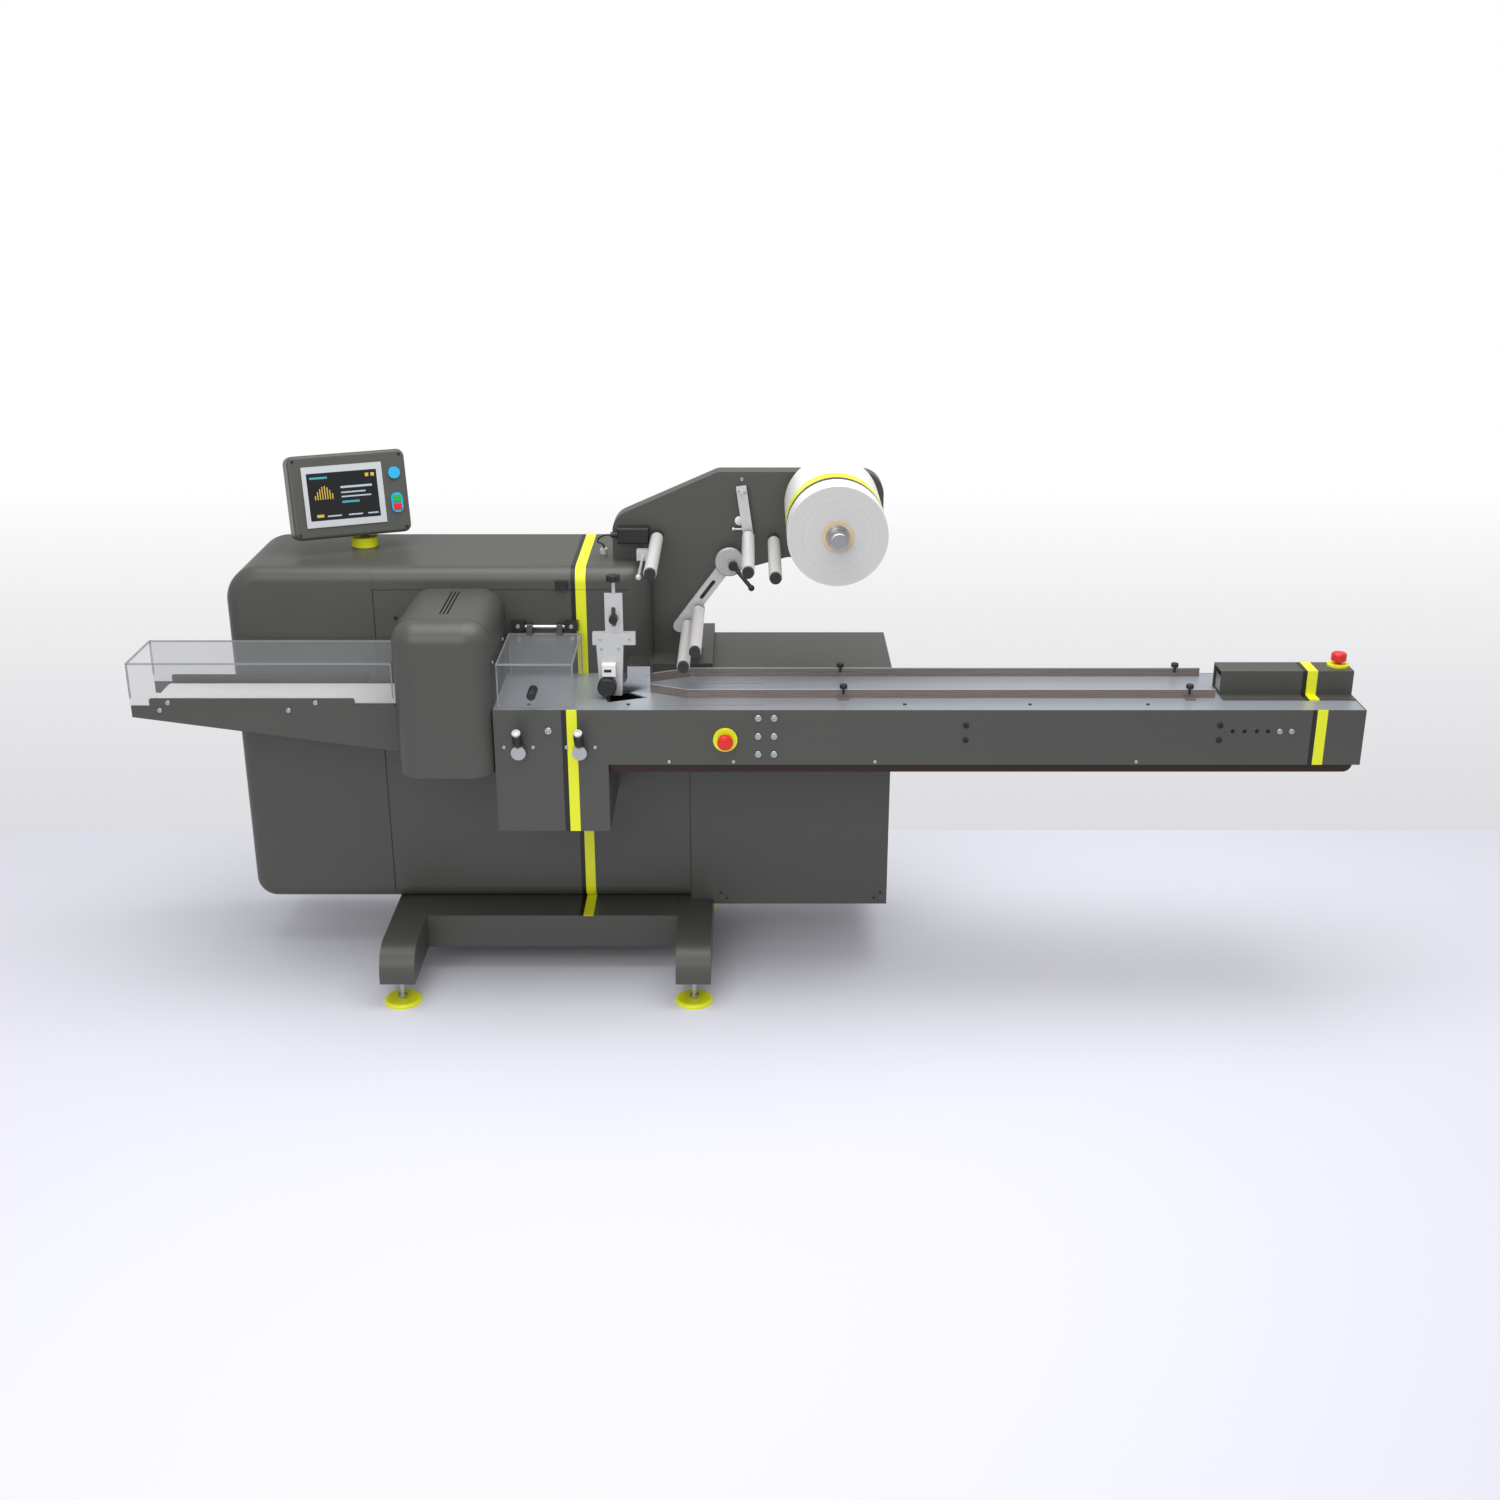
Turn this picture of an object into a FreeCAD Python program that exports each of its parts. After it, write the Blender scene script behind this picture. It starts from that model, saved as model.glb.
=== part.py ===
import FreeCAD, Part
import math
import os

# Horizontal flow wrapper. Millimetres. X runs along the product lane towards the infeed end, Y from the
# operator's side to the back, Z up from the floor. Y = 0 is the middle of the lane.

Vector = FreeCAD.Vector

# Lane and deck
deck_top = 900
lane_half = 92
sheet = 4
housing_front = 121
machine_back = 517

# Base
leg_width = 100
left_leg_x = -1051
right_leg_x = -211
leg_front = -227
leg_bottom = 85
leg_top = 187
leg_round = 84
crossbeam_depth = 100
foot_radius = 53.7
foot_inset = 60
stem_radius = 8

# Main housing
housing_left = -1480
housing_neck = -280
housing_right = -177
hood_top = 1207
hood_depth = 62
hood_seam = hood_top - hood_depth
panel_seam = -1060
hood_round = 100
front_round = 80
foot_round = 60
seam = 3

# Electrical cabinet
cabinet_right = 409
cabinet_bottom = 171
cover_thick = 3

# Reel stand
plinth_right = -107
plinth_height = 29
plate_front = 228
plate_back = 288
reel_x = 228
reel_z = 1376
reel_radius = 132
core_radius = 42
mandrel_radius = 31
spindle_radius = 15
reel_front = -192
reel_rear = 194
mandrel_nose = 60
roller_radius = 17.5
roller_pin = 6
roller_front = -202
arm_front = 205
arm_thick = 16
running_fit = 0.05
dancer_pivot = (-23, 1405)
dancer_roller = (-5, 1281)
arm_pivot = (-58, 1206)
arm_angle = 37
arm_length = 240
arm_width = 36
fixed_rollers = {"guide_roller_a": (-262, 1277), "guide_roller_e": (67, 1266)}
arm_rollers = {"guide_roller_c": (-147, 1064), "guide_roller_d": (-178, 1022)}
disc_radius = 41

# Infeed
infeed_front = -197
infeed_end = 1659
pan_top = 743
pan_thick = 28
strip_height = 25
guide_start = -171
guide_end = 1275
knob_radius = 10.5
end_cover_start = 1291
end_cover_height = 71
button_radius = 21
collar_radius = 33
button_gap = 10
button_travel = 4

# Sealing station
cover_left = -956
cover_right = -693
cover_front = -239
cover_top = 1150
cover_bottom = 719
cover_wall = 4
tunnel_half = 96
tunnel_low = 884
tunnel_high = 1004
sealing_right = -385
sealing_bottom = 547
guard_left = -681
guard_right = -474
guard_front = -183
guard_rear = 101
guard_top = 1026
clear_thick = 4
hinge_y = 106
hinge_z = 1043
crank_z = 788
crank_places = {"crank_left": -625, "crank_right": -460}

# Outfeed
outfeed_left = -1697
outfeed_half = 106
belt_half = 82
belt_top = 882
belt_thick = 2
belt_roller = 14
outfeed_cover_top = 1003
tunnel_ends = (-1699, -975)
plate_rise = (-1646, -1083)
plate_low_top = 881
plate_high_top = 902
roller_ends = (-1641, -972)
bed_ends = (-1600, -1010)
bracket_ends = (-1440, -1000)

# Operator panel
swivel_x = -1127
swivel_y = 386
swivel_height = 28
swivel_radius = 38.5
panel_width = 335
panel_height = 238
panel_depth = 80
panel_yaw = 22.6
panel_tilt = 12
panel_z = 1362

pieces = {}


def box(x, y, z):
    """A block from its lowest and highest value along each axis."""
    return Part.makeBox(x[1] - x[0], y[1] - y[0], z[1] - z[0], Vector(x[0], y[0], z[0]))


def bar(start, end, radius):
    start, end = Vector(*start), Vector(*end)
    return Part.makeCylinder(radius, (end - start).Length, start, end - start)


def along_y(place, y, radius):
    return bar((place[0], y[0], place[1]), (place[0], y[1], place[1]), radius)


def tube_y(place, y, radius, bore):
    return along_y(place, y, radius).cut(along_y(place, y, bore))


def upright(x, y, z, radius):
    return bar((x, y, z[0]), (x, y, z[1]), radius)


def outline(corners, to_point):
    """A face with a tangent arc at each corner (u, v, radius)."""
    spans = []
    for index, (u, v, radius) in enumerate(corners):
        here = Vector(u, v, 0)
        if radius == 0:
            spans.append((here, None, here))
            continue
        before = Vector(*corners[index - 1][:2], 0) - here
        after = Vector(*corners[(index + 1) % len(corners)][:2], 0) - here
        half = before.getAngle(after) / 2
        before.normalize()
        after.normalize()
        inward = before + after
        inward.normalize()
        reach = radius / math.tan(half)
        middle = here + inward * (radius / math.sin(half) - radius)
        spans.append((here + before * reach, middle, here + after * reach))
    edges = []
    for index, (start, middle, end) in enumerate(spans):
        following = spans[(index + 1) % len(spans)][0]
        if middle is not None:
            arc = Part.Arc(to_point(start), to_point(middle), to_point(end))
            edges.append(arc.toShape())
        if end.distanceToPoint(following) > 1e-6:
            edges.append(Part.LineSegment(to_point(end), to_point(following)).toShape())
    return Part.Face(Part.Wire(edges))


def side_form(corners, y):
    """An X-Z outline carried from one Y to another."""
    face = outline(corners, lambda p: Vector(p.x, y[0], p.y))
    return face.extrude(Vector(0, y[1] - y[0], 0))


def cross_form(corners, x):
    """A Y-Z outline carried from one X to another."""
    face = outline(corners, lambda p: Vector(x[0], p.x, p.y))
    return face.extrude(Vector(x[1] - x[0], 0, 0))


def plan_form(corners, z):
    """An X-Y outline carried from one Z to another."""
    face = outline(corners, lambda p: Vector(p.x, p.y, z[0]))
    return face.extrude(Vector(0, 0, z[1] - z[0]))


def round_edges(shape, radius, wanted):
    edges = [edge for edge in shape.Edges if wanted(edge.BoundBox)]
    return shape.makeFillet(radius, edges)


def near(value, target):
    return abs(value - target) < 0.01


def build_base():
    legs = []
    for left in (left_leg_x, right_leg_x):
        corners = [(leg_front, leg_bottom, 0), (leg_front, leg_top, leg_round),
                   (machine_back, leg_top, 0), (machine_back, leg_bottom, 0)]
        legs.append(cross_form(corners, (left, left + leg_width)))
    pieces["legs"] = Part.makeCompound(legs)
    between = (left_leg_x + leg_width, right_leg_x)
    front_y = 7
    rear_y = machine_back - crossbeam_depth
    pieces["crossbeams"] = Part.makeCompound([
        box(between, (y, y + crossbeam_depth), (leg_bottom, leg_top)) for y in (front_y, rear_y)])
    pads = []
    stems = []
    for x, y in foot_places():
        pad = upright(x, y, (0, 12), foot_radius)
        pad = round_edges(pad, 8, lambda b: near(b.ZMin, 12) and near(b.ZMax, 12))
        pads.append(pad)
        stem = upright(x, y, (12, leg_bottom), stem_radius)
        for low in (12, leg_bottom - 12):
            nut = Part.Face(Part.makePolygon([
                Vector(x + 13 * math.cos(math.radians(60 * i)), y + 13 * math.sin(math.radians(60 * i)), low)
                for i in range(7)])).extrude(Vector(0, 0, 12))
            stem = stem.fuse(nut)
        stems.append(stem.removeSplitter())
    pieces["foot_pads"] = Part.makeCompound(pads)
    pieces["foot_stems"] = Part.makeCompound(stems)


def foot_places():
    middle = leg_width / 2
    rows = (leg_front + foot_inset, machine_back - foot_inset)
    return [(left + middle, y) for left in (left_leg_x, right_leg_x) for y in rows]


def build_housing():
    corners = [(housing_left, leg_top, foot_round), (housing_left, hood_top, hood_round),
               (housing_neck, hood_top, 0), (housing_neck, deck_top, 0),
               (housing_right, deck_top, 0), (housing_right, leg_top, 0)]
    form = side_form(corners, (housing_front, machine_back))
    form = round_edges(form, front_round, lambda b: near(b.XMin, housing_neck) and near(b.XMax, housing_neck)
                       and near(b.YMin, housing_front) and near(b.YMax, housing_front))
    rim = front_round / 2
    form = round_edges(form, rim, lambda b: near(b.YMin, housing_front) and near(b.YMax, housing_front)
                       and (near(b.XMax, housing_left) or near(b.ZMin, hood_top)
                            or (b.XMax < panel_seam and b.ZMin > hood_seam - hood_round)))
    groove_depth = (housing_front, housing_front + seam)
    half = seam / 2
    form = form.cut(box((panel_seam - half, panel_seam + half), groove_depth, (leg_top, hood_seam + half)))
    form = form.cut(box((panel_seam - half, housing_neck), groove_depth, (hood_seam - half, hood_seam + half)))
    whole_y = (housing_front - 1, machine_back + 1)
    beyond = 50
    lower_left = box((housing_left - beyond, panel_seam), whole_y, (leg_top - beyond, hood_top + beyond))
    upper = box((panel_seam, housing_right + beyond), whole_y, (hood_seam, hood_top + beyond))
    lower_right = box((panel_seam, housing_right + beyond), whole_y, (leg_top - beyond, hood_seam))
    pieces["left_housing"] = form.common(lower_left)
    pieces["hood"] = form.common(upper)
    pieces["right_housing"] = form.common(lower_right)
    pieces["hood_latch"] = box((-545, -511), (housing_front - 14, housing_front), (hood_seam + 2, hood_seam + 28))
    leg_space = box((right_leg_x, right_leg_x + leg_width), whole_y, (0, leg_top))
    cabinet = box((housing_right, cabinet_right), (housing_front + cover_thick, machine_back),
                  (cabinet_bottom, deck_top))
    cabinet = cabinet.cut(box((housing_right - 1, housing_right + seam), groove_depth, (0, deck_top)))
    pieces["electrical_cabinet"] = cabinet.cut(leg_space)
    cover = box((housing_right + seam, cabinet_right), (housing_front, housing_front + cover_thick),
                (cabinet_bottom, deck_top))
    pieces["cabinet_cover"] = cover.cut(leg_space)


def build_reel_stand():
    plinth_top = deck_top + plinth_height
    pieces["reel_plinth"] = box((housing_neck, plinth_right), (housing_front, machine_back), (deck_top, plinth_top))
    corners = [(housing_neck, plinth_top, 0), (housing_neck, hood_top, 0), (-390, hood_top, 0), (-390, 1326, 60),
               (-90, 1457, 40), (376, 1457, 65), (376, 1212, 40), (105, 1212, 60), (20, 1188, 60),
               (-70, 1165, 30), (-140, 1070, 60), (-140, plinth_top, 0)]
    plate = side_form(corners, (plate_front, plate_back))
    socket = (plate_front - 1, plate_front + 30)
    plate = plate.cut(along_y((reel_x, reel_z), socket, spindle_radius + running_fit))
    for place in list(fixed_rollers.values()) + [dancer_pivot, arm_pivot]:
        plate = plate.cut(along_y(place, socket, roller_pin + running_fit))
    pieces["reel_plate"] = plate
    build_reel()
    for name, place in fixed_rollers.items():
        pieces[name] = roller(place, plate_front - 5, plate_front + 25)
    build_dancer()
    build_roller_arm()
    build_film_sensor()


def build_reel():
    place = (reel_x, reel_z)
    pieces["film_roll"] = tube_y(place, (reel_front, reel_rear), reel_radius, core_radius)
    pieces["film_core"] = tube_y(place, (reel_front - 1, reel_rear + 1), core_radius, mandrel_radius)
    mandrel = along_y(place, (reel_front - 2, reel_rear + 6), mandrel_radius)
    nose = along_y(place, (reel_front - mandrel_nose, reel_front), 23)
    nose = round_edges(nose, 4, lambda b: near(b.YMax, reel_front - mandrel_nose))
    spindle = along_y(place, (reel_rear, plate_front + 28), spindle_radius)
    flange = along_y(place, (reel_rear + 6, reel_rear + 14), core_radius + 12)
    pieces["reel_mandrel"] = mandrel.fuse([nose, spindle, flange]).removeSplitter()


def roller(place, body_end, pin_end):
    """A guide roller with a shoulder at each end and its pin running into what carries it."""
    body = along_y(place, (roller_front + 14, body_end - 14), roller_radius)
    caps = [along_y(place, (roller_front + 2, roller_front + 14), roller_radius - 2),
            along_y(place, (body_end - 14, body_end), roller_radius - 2),
            along_y(place, (roller_front, pin_end), roller_pin)]
    return body.fuse(caps).removeSplitter()


def link(start, end, width, square_end=False):
    """A flat arm in the X-Z plane from one pivot to another, with round ends."""
    start, end = Vector(start[0], start[1], 0), Vector(end[0], end[1], 0)
    along = end - start
    along.normalize()
    side = Vector(-along.y, along.x, 0) * (width / 2)
    tail = start - along * (width / 2)
    tip = end + along * (width / 2)
    round_end = width / 2 - 0.5
    tail_round = 3 if square_end else round_end
    corners = [(tail.x + side.x, tail.y + side.y, tail_round), (tip.x + side.x, tip.y + side.y, round_end),
               (tip.x - side.x, tip.y - side.y, round_end), (tail.x - side.x, tail.y - side.y, tail_round)]
    return side_form(corners, (arm_front, arm_front + arm_thick))


def build_dancer():
    arm = link(dancer_pivot, dancer_roller, 29, square_end=True)
    arm = arm.cut(along_y(dancer_roller, (arm_front - 1, arm_front + arm_thick + 1), roller_pin + running_fit))
    pin = along_y(dancer_pivot, (arm_front - 6, plate_front + 25), roller_pin)
    pieces["dancer_arm"] = arm.fuse(pin)
    pieces["guide_roller_b"] = roller(dancer_roller, arm_front - 5, arm_front + arm_thick)


def arm_point(distance, aside=0):
    """A point on the lower arm, measured from its pivot and to the right of its middle line."""
    turn = math.radians(arm_angle)
    x = arm_pivot[0] - distance * math.sin(turn) + aside * math.cos(turn)
    z = arm_pivot[1] - distance * math.cos(turn) - aside * math.sin(turn)
    return (x, z)


def build_roller_arm():
    arm = link(arm_pivot, arm_point(arm_length), arm_width)
    for place in arm_rollers.values():
        ear = along_y(place, (arm_front, arm_front + arm_thick), roller_radius)
        arm = arm.fuse(ear)
    through = (arm_front - 1, arm_front + arm_thick + 1)
    corners = [(*arm_point(71, -5.5), 5), (*arm_point(139, -5.5), 5),
               (*arm_point(139, 5.5), 5), (*arm_point(71, 5.5), 5)]
    arm = arm.cut(side_form(corners, through))
    for place in arm_rollers.values():
        arm = arm.cut(along_y(place, through, roller_pin + running_fit))
    pin = along_y(arm_pivot, (arm_front - 1, plate_front + 25), roller_pin)
    pieces["roller_arm"] = arm.fuse(pin).removeSplitter()
    disc = along_y(arm_pivot, (arm_front - 13, arm_front - 1), disc_radius)
    disc = round_edges(disc, 3, lambda b: near(b.YMax, arm_front - 13))
    root = (arm_pivot[0] + 10, arm_front - 19, arm_pivot[1] - 8)
    tip = (arm_pivot[0] + 62, arm_front - 45, arm_pivot[1] - 66)
    lever = bar(root, tip, 6).fuse(Part.makeSphere(9, Vector(*tip)))
    hub = along_y((root[0], root[2]), (arm_front - 30, arm_front - 13), 13)
    pieces["arm_clamp"] = disc.fuse([lever, hub]).removeSplitter()
    for name, place in arm_rollers.items():
        pieces[name] = roller(place, arm_front - 5, arm_front + arm_thick)


def build_film_sensor():
    right = fixed_rollers["guide_roller_a"][0] - roller_radius - 6
    left = right - 88
    body = box((left, right), (plate_front - 40, plate_front), (1260, 1305))
    body = round_edges(body, 4, lambda b: near(b.YMin, plate_front - 40) and near(b.YMax, plate_front - 40))
    connector = bar((left, plate_front - 20, 1282), (left - 20, plate_front - 20, 1282), 8)
    pieces["film_sensor"] = body.fuse(connector)
    rod = bar((-300, plate_front, 1235), (-300, -70, 1235), 4)
    end_ball = Part.makeSphere(8, Vector(-300, -72, 1235))
    clamp = box((-318, -286), (150, 180), (1222, 1250))
    gland = upright(-420, 285, (hood_top, hood_top + 16), 11)
    pieces["sensor_bracket"] = Part.makeCompound([rod.fuse([end_ball, clamp]), gland])
    route = [(left - 20, 208, 1282), (left - 38, 210, 1281), (-430, 222, 1268), (-435, 248, 1250),
             (-428, 276, 1242), (-420, 285, 1232), (-420, 285, 1223)]
    pieces["sensor_lead"] = cord(route, 2.5)


def cord(route, radius):
    """Straight runs joined by tangent arcs."""
    points = [Vector(*point) for point in route]
    edges = []
    last = points[0]
    for before, here, after in zip(points, points[1:], points[2:]):
        back = before - here
        ahead = after - here
        turn = math.pi - back.getAngle(ahead)
        reach = 0.45 * min(back.Length, ahead.Length)
        bend = reach / math.tan(turn / 2)
        back.normalize()
        ahead.normalize()
        inward = back + ahead
        inward.normalize()
        start, end = here + back * reach, here + ahead * reach
        middle = here + inward * (bend / math.cos(turn / 2) - bend)
        edges.append(Part.LineSegment(last, start).toShape())
        edges.append(Part.Arc(start, middle, end).toShape())
        print("lead radius", round(bend, 1))
        last = end
    edges.append(Part.LineSegment(last, points[-1]).toShape())
    path = Part.Wire(edges)
    ring = Part.Wire(Part.makeCircle(radius, points[0], points[1] - points[0]))
    return path.makePipeShell([ring], True, False)


def build_infeed():
    top_z = deck_top
    strip_low = top_z - sheet
    front_in = infeed_front + sheet
    rear_in = housing_front - sheet
    right_in = infeed_end - sheet
    corners = [(cover_right, sealing_bottom, 0), (cover_right, top_z, 0), (infeed_end, top_z, 0),
               (infeed_end, pan_top, 0), (sealing_right, pan_top, 0), (sealing_right, sealing_bottom, 0)]
    plate = side_form(corners, (infeed_front, front_in))
    plate = plate.cut(along_y(front_stop_place(), (infeed_front - 1, front_in + 1), 8 + running_fit))
    for place in crank_places.values():
        plate = plate.cut(along_y((place, crank_z), (infeed_front - 1, front_in + 1), 8 + running_fit))
    pieces["infeed_front_plate"] = plate
    rear = box((sealing_right, infeed_end), (rear_in, housing_front), (pan_top, top_z))
    end = box((right_in, infeed_end), (front_in, rear_in), (pan_top, top_z))
    middle = (pan_top, strip_low)
    ribs = [box((x, x + 6), (front_in, rear_in), middle) for x in (-100, 300, 700, 1100, 1500)]
    pieces["infeed_frame"] = rear.fuse([end] + ribs).removeSplitter()
    pan = plan_form([(sealing_right, infeed_front + 20, 0), (infeed_end - 14, infeed_front + 20, 0),
                     (infeed_end - 14, housing_front, 0), (sealing_right, housing_front, 0)],
                    (pan_top - pan_thick, pan_top))
    slope = round_edges(pan, 24, lambda b: near(b.XMin, infeed_end - 14) and near(b.ZMax, pan_top - pan_thick)
                        and near(b.ZMin, pan_top - pan_thick) and b.YMax - b.YMin > 50)
    pieces["infeed_pan"] = slope
    deck_start = -405
    notch = plan_form([(-401, -62, 0), (-388, -131, 0), (-282, -91, 0), (-339, -41, 0)],
                      (strip_low - 1, top_z + 1))
    front_deck = box((deck_start, right_in), (front_in, -lane_half), (strip_low, top_z))
    lane_deck = box((deck_start, right_in), (-lane_half, rear_in), (strip_low, top_z))
    slot = (-250, 40)
    front_deck = front_deck.cut(box(slot, (-155, -151), (strip_low - 1, top_z + 1)))
    lane_deck = lane_deck.cut(box(slot, (30, 34), (strip_low - 1, top_z + 1)))
    pieces["front_deck"] = front_deck.cut(notch)
    pieces["lane_deck"] = lane_deck.cut(notch)
    guides = []
    knobs = []
    for side in (-1, 1):
        y = sorted((side * lane_half, side * (lane_half + 3)))
        guides.append(box((guide_start, guide_end), y, (top_z, top_z + strip_height)))
        foot_y = sorted((side * (lane_half + 3), side * (lane_half + 26)))
        for x in (256, 1204):
            guides.append(box((x - 14, x + 14), foot_y, (top_z, top_z + 4)))
            knob = upright(x, side * (lane_half + 15), (top_z + 4, top_z + 22), knob_radius)
            knobs.append(round_edges(knob, 2, lambda b: near(b.ZMin, top_z + 22)))
    pieces["lane_guides"] = Part.makeCompound([guides[0].fuse(guides[1:3]), guides[3].fuse(guides[4:6])])
    pieces["guide_knobs"] = Part.makeCompound(knobs)
    build_end_cover()


def front_stop_place():
    return (-67, 817)


def build_end_cover():
    high = deck_top + end_cover_height
    cover = box((end_cover_start, infeed_end - 4), (-76, 4), (deck_top, high))
    cover = cover.cut(box((end_cover_start - 1, infeed_end - 7), (-73, 1), (deck_top + 3, high - 3)))
    flange = box((end_cover_start, infeed_end - 4), (-lane_half - 24, -76), (deck_top, deck_top + 3))
    stop_x, stop_y = 1625, -25
    cover = cover.cut(upright(stop_x, stop_y, (high - 5, high + 1), 8 + running_fit))
    pieces["end_cover"] = cover.fuse(flange).removeSplitter()
    collar_high = (high, high + 6)
    end_collar = upright(stop_x, stop_y, collar_high, 30).cut(upright(stop_x, stop_y, collar_high, 8 + running_fit))
    x, z = front_stop_place()
    face = (infeed_front - 8, infeed_front)
    front_collar = tube_y((x, z), face, collar_radius, 8 + running_fit)
    pieces["stop_collars"] = Part.makeCompound([front_collar, end_collar])
    head_low = collar_high[1] + button_gap
    end_button = upright(stop_x, stop_y, (high - 12, head_low), 8)
    head = upright(stop_x, stop_y, (head_low, head_low + 22), button_radius)
    head = round_edges(head, 7, lambda b: near(b.ZMin, head_low + 22))
    pieces["end_stop_button"] = end_button.fuse(head)
    back = face[0] - button_gap
    front_button = along_y((x, z), (back, infeed_front + 12), 8)
    head = along_y((x, z), (back - 18, back), button_radius)
    head = round_edges(head, 6, lambda b: near(b.YMax, back - 18))
    pieces["front_stop_button"] = front_button.fuse(head)
    pieces["carrier_chain"] = box((end_cover_start + 4, infeed_end - 60), (-60, -12), (deck_top + 6, deck_top + 50))


def build_former():
    """The former stands over the lane where the film is folded round the products."""
    half = 45
    wall = 3
    right = -275
    low, high = deck_top, deck_top + 75
    flank = [(-338, high, 0), (right, high, 0), (right, low, 0), (-385, low, 0), (-372, low + 14, 12),
             (-338, low + 34, 20)]
    sides = [side_form(flank, (-half - wall, -half)), side_form(flank, (half, half + wall))]
    top = box((-338, right), (-half, half), (high - wall, high))
    pieces["forming_box"] = sides[0].fuse([sides[1], top]).removeSplitter()
    noses = []
    for side in (-1, 1):
        inner, outer = side * half, side * lane_half
        noses.append(plan_form([(right, inner, 0), (guide_start, outer, 0), (guide_start, outer + side * wall, 0),
                                (right, inner + side * wall, 0)], (low, low + strip_height)))
    guides, far_guide = pieces["lane_guides"].Solids
    pieces["lane_guides"] = Part.makeCompound([guides.fuse(noses[0]), far_guide.fuse(noses[1])])
    front, back = -74, -half - wall
    body = side_form([(-412, low, 0), (-419, 1045, 4), (-345, 1045, 4), (-352, low, 0)], (front, back))
    crossbar = box((-429, -312), (front, back), (1045, 1077))
    slide = box((-394, -345), (-66, -58), (1077, 1188))
    slide = slide.cut(side_form([(-376, 1095, 5), (-376, 1150, 5), (-364, 1150, 5), (-364, 1095, 5)], (-67, -57)))
    rod = upright(-369, -62, (1188, 1222), 5)
    star = upright(-369, -62, (1222, 1238), 19)
    for index in range(6):
        turn = math.radians(60 * index)
        star = star.cut(upright(-369 + 22 * math.cos(turn), -62 + 22 * math.sin(turn), (1221, 1239), 6))
    pieces["former_knobs"] = Part.makeCompound([star, along_y((-370, 1120), (-90, -66), 12)])
    pieces["position_indicator"] = round_edges(box((-404, -366), (front - 22, front), (960, 996)), 3,
                                               lambda b: near(b.YMin, front - 22) and near(b.YMax, front - 22))
    shaft_fit = 6 + running_fit
    body = body.cut(along_y((-391, 932), (front - 1, front + 20), shaft_fit))
    pieces["former_slide"] = body.fuse([crossbar, slide, rod]).removeSplitter()
    knob = along_y((-391, 932), (front - 36, front - 8), 26)
    knob = round_edges(knob, 5, lambda b: near(b.YMax, front - 36))
    pieces["hand_knob"] = knob.fuse(along_y((-391, 932), (front - 9, front + 19), 6)).removeSplitter()


def build_sealing():
    low = deck_top - sheet
    pieces["sealing_box"] = box((cover_right, sealing_right), (infeed_front + sheet, housing_front),
                                (sealing_bottom, low))
    for place in crank_places.values():
        bore = along_y((place, crank_z), (infeed_front, infeed_front + 30), 8 + running_fit)
        pieces["sealing_box"] = pieces["sealing_box"].cut(bore)
    pieces["sealing_deck"] = box((cover_right, -405), (infeed_front + sheet, housing_front), (low, deck_top))
    guard_low = deck_top + 3
    outer = box((guard_left, guard_right), (guard_front, guard_rear), (guard_low, guard_top))
    outer = round_edges(outer, 8, lambda b: near(b.ZMin, guard_top) and near(b.YMax, guard_front))
    inner = box((guard_left - 1, guard_right + 1), (guard_front + clear_thick, guard_rear - clear_thick),
                (guard_low - 1, guard_top - clear_thick))
    pieces["clear_guard"] = outer.cut(inner)
    hinge = (hinge_y, hinge_z)
    lugs = []
    for middle in (-620, -536):
        lug = cross_form([(hinge_y - 26, guard_top, 0), (hinge_y - 11, hinge_z + 11, 9),
                          (hinge_y + 11, hinge_z + 11, 9), (hinge_y + 11, hinge_z - 10, 9),
                          (guard_rear - 2, guard_top, 0)], (middle - 8, middle + 8))
        lugs.append(lug.cut(bar((middle - 9, *hinge), (middle + 9, *hinge), 5 + running_fit)))
    blocks = bar((-672, *hinge), (-484, *hinge), 5)
    for left in (-672, -522):
        blocks = blocks.fuse(box((left, left + 38), (hinge_y - 10, housing_front), (hinge_z - 10, hinge_z + 16)))
    pieces["guard_hinge"] = blocks.removeSplitter()
    handle = along_y((-582, 955), (guard_front - 60, guard_front), 12)
    handle = round_edges(handle, 3, lambda b: near(b.YMax, guard_front - 60))
    pieces["guard_fittings"] = Part.makeCompound(lugs + [handle])
    for name, place in crank_places.items():
        hub = along_y((place, crank_z), (infeed_front - 31, infeed_front - 1), 20)
        shaft = along_y((place, crank_z), (infeed_front - 2, infeed_front + 28), 8)
        start = (place, infeed_front - 20, crank_z + 16)
        rise = math.radians(55)
        end = (place, start[1] - 62 * math.cos(rise), start[2] + 62 * math.sin(rise))
        pieces[name] = hub.fuse([shaft, bar(start, end, 12)]).removeSplitter()


def cover_form(inset):
    x = (cover_left + inset, cover_right - inset)
    y = (cover_front + inset, housing_front - inset)
    z = (cover_bottom + inset, cover_top - inset)
    form = box(x, y, z)
    form = round_edges(form, 70 - inset, lambda b: near(b.YMax, y[0]) and b.ZMax - b.ZMin > 100)
    return round_edges(form, 60 - inset, lambda b: near(b.ZMin, z[1]) and not near(b.YMin, y[1]))


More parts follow.
